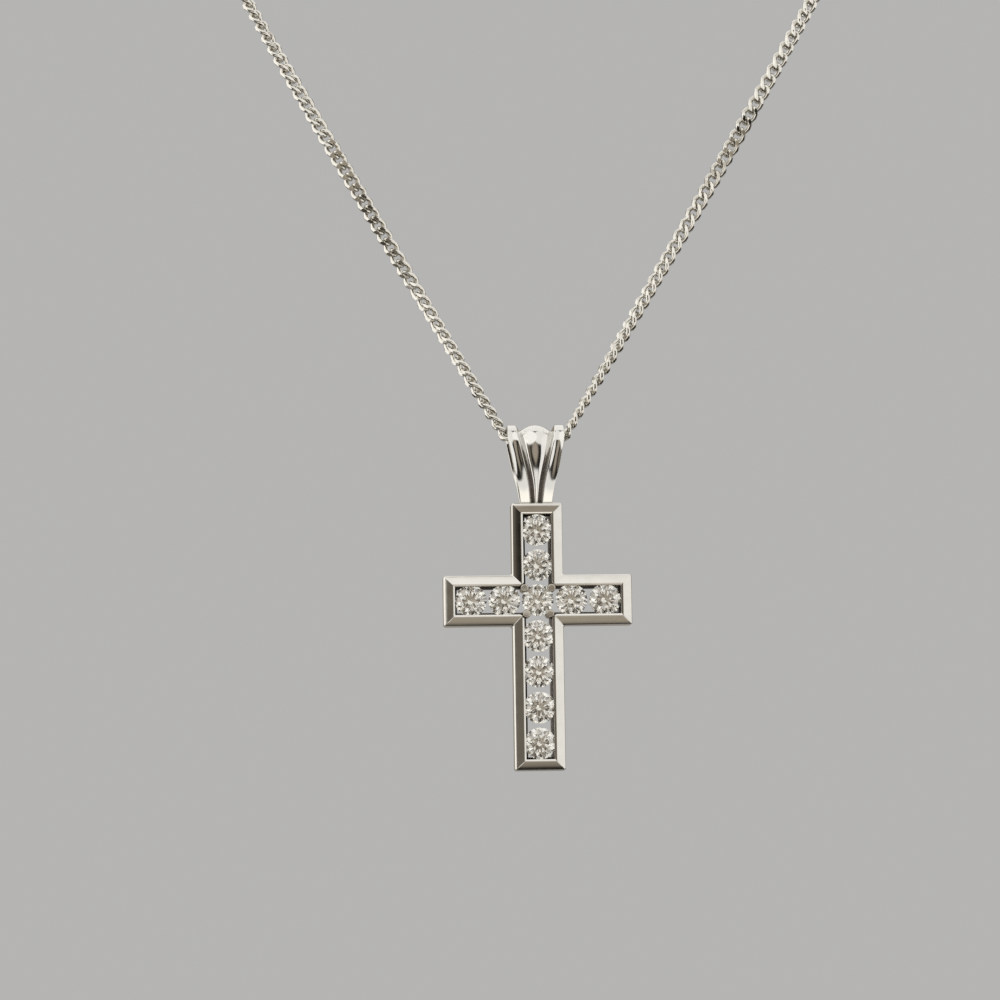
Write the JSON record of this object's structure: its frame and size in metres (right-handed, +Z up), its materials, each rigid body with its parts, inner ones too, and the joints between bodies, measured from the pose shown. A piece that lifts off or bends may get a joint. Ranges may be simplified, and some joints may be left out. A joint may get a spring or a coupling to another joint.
{
  "type": "cross pendant necklace",
  "caption": "Channel-set diamond cross pendant with a fluted bail, hanging on a curb chain that closes at the nape with a plain ring clasp.",
  "frame": {"origin": "middle of the neck that the necklace goes round, at the height where the chain crosses the sides of the neck", "axes": "+Z up, the pendant's front faces -Y, +X to the right as the front is seen"},
  "size_m": [0.1092, 0.114, 0.1432],
  "materials": {
    "white_gold": "polished",
    "diamond": "polished"
  },
  "bodies": {
    "necklace": {"chain": "white_gold", "clasp": "white_gold"},
    "pendant": {"cross_and_bail": "white_gold", "stone_centre": "diamond", "stone_up_1": "diamond", "stone_up_2": "diamond", "stone_down_1": "diamond", "stone_down_2": "diamond", "stone_down_3": "diamond", "stone_down_4": "diamond", "stone_left_1": "diamond", "stone_left_2": "diamond", "stone_right_1": "diamond", "stone_right_2": "diamond"}
  },
  "joints": [
    {"name": "pendant_swing", "type": "hinge", "parent": "necklace", "child": "pendant", "pos_m": [0, -0.057, -0.097], "axis": [1, 0, 0], "range_deg": [-75, 75]}
  ]
}
